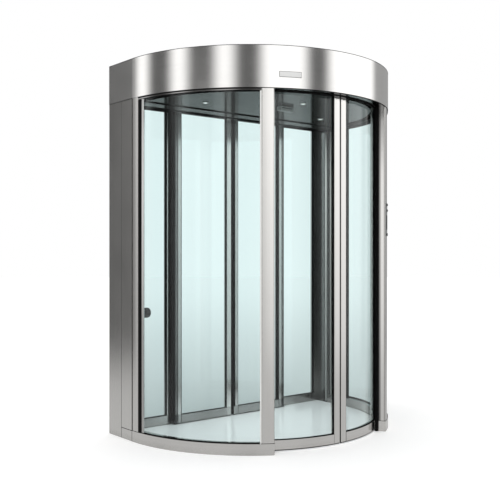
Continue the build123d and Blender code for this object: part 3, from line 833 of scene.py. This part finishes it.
# %% Strips on the leaves
LEAF_FOOT, LEAF_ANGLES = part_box("rear_left_leaf_frame")[0][2], (0.5, 34.8)
SWEEP_LOW, SWEEP_ENDS, SWEEP_FRONT, SWEEP_BACK = 0.0095, 0.003, 0.004, 0.012    # how far it stands in
SWEEP_HEIGHTS = (SWEEP_LOW, LEAF_FOOT + LET_IN)
EDGE_OUT, EDGE_IN, EDGE_HEIGHTS = 0.0028, 0.002, (LEAF_FOOT, SOFFIT - 0.006)
PANE_SEAL, PANE_SEAL_PROUD, PANE_SEAL_DEEP = {"left": 0.010, "right": 0.022}, 0.0015, 0.0005
for side, sign in SIGNED_SIDES:
    leaf_span = on_side(sign, *LEAF_ANGLES)
    seal(hoops([(LEAF_IN + SWEEP_BACK, LEAF_OUT - SWEEP_FRONT, *SWEEP_HEIGHTS, *leaf_span)], edge=0.001),
         f"front_{side}_sweep", f"front_{side}_leaf")
    leaf = f"rear_{side}_leaf"
    low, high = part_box(f"{leaf}_frame")
    seal(bars([bar((low[0] + SWEEP_ENDS, high[0] - SWEEP_ENDS),
                   (low[1] + SWEEP_FRONT, high[1] - SWEEP_BACK), SWEEP_HEIGHTS)], edge=0.001),
         f"rear_{side}_sweep", leaf)
    outer = far_edge(f"{leaf}_frame")
    seal(bars([bar(on_side(sign, outer - LET_IN, outer + EDGE_OUT), (low[1] + EDGE_IN, high[1] - EDGE_IN),
                   EDGE_HEIGHTS)], edge=0.0015), f"rear_{side}_edge_strip", leaf)
    low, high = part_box(f"{leaf}_glass")
    outer = far_edge(f"{leaf}_glass")
    seal(bars([bar(on_side(sign, outer - PANE_SEAL[side], outer),
                   (low[1] - PANE_SEAL_PROUD, low[1] + PANE_SEAL_DEEP), (low[2], high[2]))], edge=0.0006),
         f"rear_{side}_pane_seal", leaf)

# %% [markdown]
# ## Joints of the door frames
# A door's rails are cut between its stiles, and each joint shows as a hair line. A dark leaf, little more
# than a millimetre thick and let right through the frame, makes the line on both faces at once. The rear
# doors also have a groove down each outer stile, where the edge profile is clipped on; the groove's dark is
# a black strip, a painted shadow.

# %% Draw the joints
JOINT_HALF, JOINT_PROUD = 0.0006, 0.0003
JOINT_FOOT, JOINT_STOP, JOINT_HEAD = 0.001, 0.002, 0.004     # from the leaf's foot, the pane and the soffit
GROOVE, GROOVE_DEEP, GROOVE_FOOT, GROOVE_HEAD = (0.474, 0.4785), 0.002, 0.02, 0.01
for leaf in LEAVES:
    low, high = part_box(f"{leaf}_frame")
    pane_low, pane_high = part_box(f"{leaf}_glass")
    ends = pane_low[0], pane_high[0]
    rails = ((low[2] + JOINT_FOOT, pane_low[2] - JOINT_STOP),
             (pane_high[2] + JOINT_STOP, SOFFIT + JOINT_HEAD))
    if leaf.startswith("front"):
        angles = [about(degrees(asin(x / LEAF_OUT)), degrees(JOINT_HALF / LEAF_OUT)) for x in ends]
        joints = hoops([(LEAF_IN - JOINT_PROUD, LEAF_OUT + JOINT_PROUD, *rail, *angle)
                        for angle in angles for rail in rails], edge=0.0001)
    else:
        through = low[1] - JOINT_PROUD, high[1] + JOINT_PROUD
        lines = [bar(about(x, JOINT_HALF), through, rail) for x in ends for rail in rails]
        # the groove is a black strip: a painted shadow
        lines.append(bar(on_side(1 if high[0] > 0 else -1, *GROOVE), (through[0], low[1] + GROOVE_DEEP),
                         (low[2] + GROOVE_FOOT, SOFFIT - GROOVE_HEAD)))
        joints = bars(lines, edge=0.0001)
    seal(joints, f"{leaf}_joints", leaf)

# %% [markdown]
# ## Meeting seal and guide shoes
# The right rear door carries the flat rubber that laps the joint where the two doors meet, from its foot
# rail up. Its black is partly the real seal and partly a painted reflection, the dark that the right stile
# mirrors beside the joint. At the foot of each outer stile a small dark shoe guides the door just above the
# floor, so that it can't swing: a block whose edges are rounded by a wide bevel.

# %% Fit the rear doors
MEETING_LAP, MEETING_PROUD, MEETING_HEAD = 0.0105, 0.0025, 0.012
SHOE_IN, SHOE_OUT, SHOE_FRONT, SHOE_BACK, SHOE_TOP = 0.006, 0.0032, 0.003, 0.0025, 0.034
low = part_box("rear_right_leaf_frame")[0]
rail_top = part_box("rear_right_leaf_glass")[0][2]
# partly painted reflection: the lap stands for the dark that the right stile mirrors
seal(bars([bar((low[0] - LET_IN, low[0] + MEETING_LAP), (low[1] - MEETING_PROUD, low[1] + LET_IN),
               (rail_top, SOFFIT - MEETING_HEAD))], edge=0.0008), "rear_meeting_seal", "rear_right_leaf")
for side, sign in SIGNED_SIDES:
    leaf = f"rear_{side}_leaf"
    low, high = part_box(f"{leaf}_frame")
    outer = far_edge(f"{leaf}_frame")
    shoe = bars([bar(on_side(sign, outer - SHOE_IN, outer + SHOE_OUT),
                     (low[1] - SHOE_FRONT, high[1] + SHOE_BACK), (SWEEP_LOW, SHOE_TOP))], edge=0.0028)
    close(shoe, f"rear_{side}_shoe", DARK_PLASTIC, leaf)

# %% [markdown]
# ## Trim on the side walls
# Inside, each side wall has two slim strips where its sheets meet: one on the step of the jamb and one
# on the face beside the sliding door. Their pale satin colour is a painted highlight: the two thin bright
# lines in the dark of the wall.

# %% Trim the walls
# painted highlight: the pale satin stands for the bright lines the walls show
TRIM_PAINTED_HIGHLIGHT = plain_finish("trim_painted_highlight", (0.42, 0.42, 0.41, 1), (0.50, 0.50, 0.49, 1),
                          rough=0.3, grain=700.0, bump=0.05)
JAMB_IN, JAMB_FRONT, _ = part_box("right_rear_jamb")[0]
STEP_TRIM, STEP_DEPTH = (JAMB_IN + 0.020, JAMB_IN + 0.034), (JAMB_FRONT - 0.002, JAMB_FRONT + LET_IN)
FACE_TRIM, FACE_DEPTH = (JAMB_IN - 0.003, JAMB_IN + LET_IN), (0.146, 0.158)
TRIM_HEIGHTS = (LEAF_FOOT, SOFFIT - 0.02)
for side, sign in SIGNED_SIDES:
    close(bars([bar(on_side(sign, *STEP_TRIM), STEP_DEPTH, TRIM_HEIGHTS),
                bar(on_side(sign, *FACE_TRIM), FACE_DEPTH, TRIM_HEIGHTS)], edge=0.0008),
          f"{side}_wall_trim_painted_highlight", TRIM_PAINTED_HIGHLIGHT)

# %% [markdown]
# ## Downlights
# Three small lamps sit in the ceiling, each a shallow lit lens in an enamel ring. A lens is half a sphere
# pressed flat: the sphere is cut at its middle and squeezed. It is modelled once and copied to the other
# two rings.

# %% Lamp lenses
LAMP_RING, LAMP_ANGLES, LAMP_RADIUS = 0.545, (-71, 0, 71), 0.0138
LAMP_SEAT, LAMP_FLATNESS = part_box("ceiling_lights")[0][2] + 0.002, 0.3


def lit_lens():
    glow = Finish("lamp_lens", Roughness=0.3, Emission_Strength=0.85)
    ripple = glow.noise(glow.place(), scale=260.0)
    glow.feed("Base Color", glow.blend(ripple, (0.9, 0.9, 0.88, 1), (0.98, 0.98, 0.96, 1)))
    glow.feed("Emission Color", glow.blend(ripple, (0.92, 0.93, 0.92, 1), (1, 1, 0.98, 1)))
    return glow.material


x, y = on_plan(LAMP_RING, LAMP_ANGLES[0])
middle = x, y, LAMP_SEAT
lamp = begin(bpy.ops.mesh.primitive_uv_sphere_add, segments=32, ring_count=16, radius=LAMP_RADIUS,
             location=middle)
bpy.ops.mesh.bisect(plane_co=middle, plane_no=(0, 0, 1), use_fill=True, clear_outer=True)
bpy.ops.mesh.select_all(action="SELECT")
bpy.ops.transform.resize(value=(1, 1, LAMP_FLATNESS), center_override=middle)
close(lamp, "lamp_lens_1", lit_lens())
for number, angle in enumerate(LAMP_ANGLES[1:], 2):
    other = lamp.copy()
    other.data = lamp.data.copy()
    other.name = other.data.name = f"lamp_lens_{number}"
    there = on_plan(LAMP_RING, angle)
    for point in other.data.vertices:
        point.co.x += there[0] - x
        point.co.y += there[1] - y
    SCENE.collection.objects.link(other)
    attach(other, "portal")
    print(other.name, "copied to", angle, "degrees")

# %% [markdown]
# ## The push button
# A stubby round button inside the left rear post opens the doors. It stands in a thin black collar, its cap
# has a big soft edge, and its face is dished for the palm. It starts as a cylinder along the line from the
# post to the middle of the chamber; the faces at its ends are picked by how far along that line they are.

# %% Turn the push button
BUTTON_ANGLE, BUTTON_HEIGHT, BUTTON_RADIUS = -87.9, 0.805, 0.0318
BUTTON_SEAT, BUTTON_END = 0.9071, 0.8475        # radii where it starts and ends
BUTTON_LENGTH, BUTTON_EDGE, END_SLACK = BUTTON_SEAT - BUTTON_END, 0.013, 0.0005
DISH_RIM, DISH_WALL, DISH_DEPTH, FOOT_RIM = 0.003, 0.0015, 0.0015, 0.002
COLLAR_LIFT, COLLAR_THICK, COLLAR_SQUEEZE = 0.004, 0.002, 0.995
to_middle = -Vector((*on_plan(1, BUTTON_ANGLE), 0))
seat = Vector((*on_plan(BUTTON_SEAT, BUTTON_ANGLE), BUTTON_HEIGHT))
at_end = beyond(seat, to_middle, BUTTON_LENGTH - END_SLACK)
button = begin(bpy.ops.mesh.primitive_cylinder_add, vertices=64, radius=BUTTON_RADIUS, depth=BUTTON_LENGTH,
               location=seat + to_middle * BUTTON_LENGTH / 2, rotation=lying_along(to_middle))
pick_faces(at_end)
bpy.ops.mesh.bevel(offset=BUTTON_EDGE, segments=8, affect="EDGES")
pick_faces(at_end)
bpy.ops.mesh.inset(thickness=DISH_RIM)
bpy.ops.mesh.inset(thickness=DISH_WALL)
bpy.ops.transform.translate(value=-to_middle * DISH_DEPTH)
pick_faces(beyond(seat, -to_middle, -END_SLACK))
bpy.ops.mesh.inset(thickness=FOOT_RIM)
close(button, "push_button_cap", DARK_PLASTIC)
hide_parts("push_button")
lift = seat + to_middle * COLLAR_LIFT
collar = begin(bpy.ops.mesh.primitive_torus_add, major_segments=64, minor_segments=12, location=lift,
               major_radius=BUTTON_RADIUS, minor_radius=COLLAR_THICK, rotation=lying_along(to_middle))
bpy.ops.transform.resize(value=(1, COLLAR_SQUEEZE, COLLAR_SQUEEZE), center_override=lift)
close(collar, "push_button_collar", RUBBER)

# %% [markdown]
# ## The entry panel
# On the right front post a slim panel takes the visitor's card or key. It has a dark reading window, two
# lamps above it and a key switch below. They stand a little proud, so the post's edge shows them.

# %% Fit out the entry panel
PANEL_ANGLE, PANEL_FACE = 32.905, 0.956
PANEL_LAMPS, LAMP_STUD, LAMP_CROWN = (1.4995, 1.462), 0.008, 0.001      # heights, radius, how it swells
KEY_HEIGHT, KEY_STUD, KEY_DISH = 1.303, 0.009, 0.0015
STUD_PROUD, STUD_SLACK, STUD_EDGE, STUD_RIM = 0.006, 0.0003, 0.2, 0.25  # the last two as parts of a radius
WINDOW_HEIGHTS, WINDOW_TURN, WINDOW_RADII = (1.335, 1.43), 1.2, (PANEL_FACE - 0.001, PANEL_FACE + 0.0015)
WINDOW_RIM, WINDOW_SUNK = 0.004, 0.0006
outward = Vector((*on_plan(1, PANEL_ANGLE), 0))


def panel_stud(name, z, radius, dish):
    """A round fitting on the panel, with a soft rim and a face that is dished or swells."""
    foot = Vector((*on_plan(PANEL_FACE, PANEL_ANGLE), z))
    at_tip = beyond(foot, outward, STUD_PROUD - STUD_SLACK)
    stud = begin(bpy.ops.mesh.primitive_cylinder_add, vertices=32, radius=radius, depth=STUD_PROUD,
                 location=foot + outward * STUD_PROUD / 2, rotation=lying_along(outward))
    pick_faces(at_tip)
    bpy.ops.mesh.bevel(offset=radius * STUD_EDGE, segments=3, affect="EDGES")
    pick_faces(at_tip)
    bpy.ops.mesh.inset(thickness=radius * STUD_RIM)
    bpy.ops.transform.translate(value=-outward * dish)
    close(stud, name, DARK_PLASTIC)


for number, z in enumerate(PANEL_LAMPS, 1):
    panel_stud(f"panel_lamp_{number}", z, LAMP_STUD, -LAMP_CROWN)
panel_stud("panel_key_switch", KEY_HEIGHT, KEY_STUD, KEY_DISH)
window = hoops([(*WINDOW_RADII, *WINDOW_HEIGHTS, *about(PANEL_ANGLE, WINDOW_TURN))], edge=0.0006, step=0.4)
pick_faces(looking(outward))
bpy.ops.mesh.inset(thickness=WINDOW_RIM)
bpy.ops.transform.translate(value=-outward * WINDOW_SUNK)
close(window, "panel_window", DARK_PLASTIC)

# %% [markdown]
# ## The bare name plate
# A small plate is fixed to the header left of the middle. It is kept bare. It follows the curve, so it is a
# swept strip whose outer faces are inset and sunk, which leaves a raised rim all round. A thin black backing
# shows as a line about it.

# %% Make the name plate
PLATE_ANGLES, PLATE_HEIGHTS = (-28.7, -20.8), (2.2145, 2.2445)
PLATE_RADII, PLATE_RIM, PLATE_SUNK = (SKIN - 0.0005, SKIN + 0.0022), 0.003, 0.0009
BACKING_RADII, BACKING_RIM = (SKIN - 0.0005, SKIN + 0.0008), 0.0022
PLATE_SATIN = plain_finish("plate_satin", (0.72, 0.72, 0.71, 1), (0.80, 0.80, 0.79, 1),
                           rough=0.35, grain=600.0, bump=0.05)
plate = hoops([(*PLATE_RADII, *PLATE_HEIGHTS, *PLATE_ANGLES)], edge=0.0005, step=0.5)
facing_out = Vector((*on_plan(1, sum(PLATE_ANGLES) / 2), 0))
pick_faces(looking(facing_out))
bpy.ops.mesh.inset(thickness=PLATE_RIM)
bpy.ops.transform.translate(value=-facing_out * PLATE_SUNK)
close(plate, "name_plate", PLATE_SATIN)
rim_turn = degrees(BACKING_RIM / SKIN)
seal(hoops([(*BACKING_RADII, PLATE_HEIGHTS[0] - BACKING_RIM, PLATE_HEIGHTS[1] + BACKING_RIM,
             PLATE_ANGLES[0] - rim_turn, PLATE_ANGLES[1] + rim_turn)], edge=0.0003, step=0.5),
     "name_plate_backing")

# %% [markdown]
# ## The sensor's window
# The presence sensor under the ceiling looks out through a dark lens across its front. The lens is a bar
# with a rounded edge, let into the housing.

# %% Glaze the sensor
EYE_INSET, EYE_PROUD, EYE_DEEP = 0.01, 0.0008, 0.004
EYE_DROPS = (0.012, 0.007)          # from the sensor's top to the window's lower and upper edge
low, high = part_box("ceiling_sensor")
close(bars([bar((low[0] + EYE_INSET, high[0] - EYE_INSET), (low[1] - EYE_PROUD, low[1] + EYE_DEEP),
                [high[2] - drop for drop in EYE_DROPS])], edge=0.0006),
      "sensor_window", DARK_PLASTIC)

# %% [markdown]
# ## The light of the chamber
# The three downlights in the ceiling wash the pale floor. Tiny lamps would sparkle in the panes, so their
# light comes from one soft disc under the ceiling, which no camera, reflection or pane shows.

# %% Light the chamber
GLOW_PLACE, GLOW_SIZE, GLOW_POWER = (0, -0.2, 2.11), 1.2, 34.0
disc = bpy.data.lights.new("chamber_light", "AREA")
disc.shape, disc.size, disc.energy = "DISK", GLOW_SIZE, GLOW_POWER
chamber_light = bpy.data.objects.new("chamber_light", disc)
chamber_light.location = GLOW_PLACE
chamber_light.visible_camera = chamber_light.visible_glossy = chamber_light.visible_transmission = False
SCENE.collection.objects.link(chamber_light)
print("chamber light", GLOW_POWER, "W")
